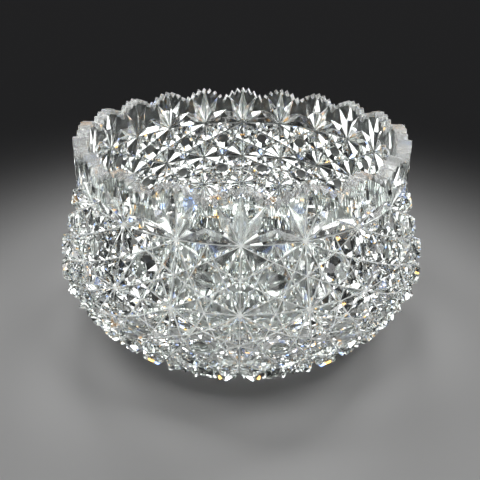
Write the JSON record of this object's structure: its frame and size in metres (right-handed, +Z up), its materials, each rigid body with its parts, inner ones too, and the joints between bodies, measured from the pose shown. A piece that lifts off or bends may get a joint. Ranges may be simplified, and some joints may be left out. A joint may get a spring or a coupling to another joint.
{
  "type": "cut glass punch bowl",
  "caption": "Round punch bowl of thick clear cut glass with a wide belly, a scalloped saw-tooth rim and an all-over pattern of crossing star cuts.",
  "frame": {"origin": "middle of the flat foot ring that the bowl rests on, at the bottom of its box", "axes": "+Z up along the bowl's axis; -Y is the front, with one column of stars facing it; +X to the right as seen from the front"},
  "size_m": [0.2988, 0.2988, 0.171],
  "materials": {
    "crystal": "polished clear lead crystal with sharp mitre cuts"
  },
  "bodies": {
    "root": {"bowl": "crystal"}
  },
  "joints": []
}
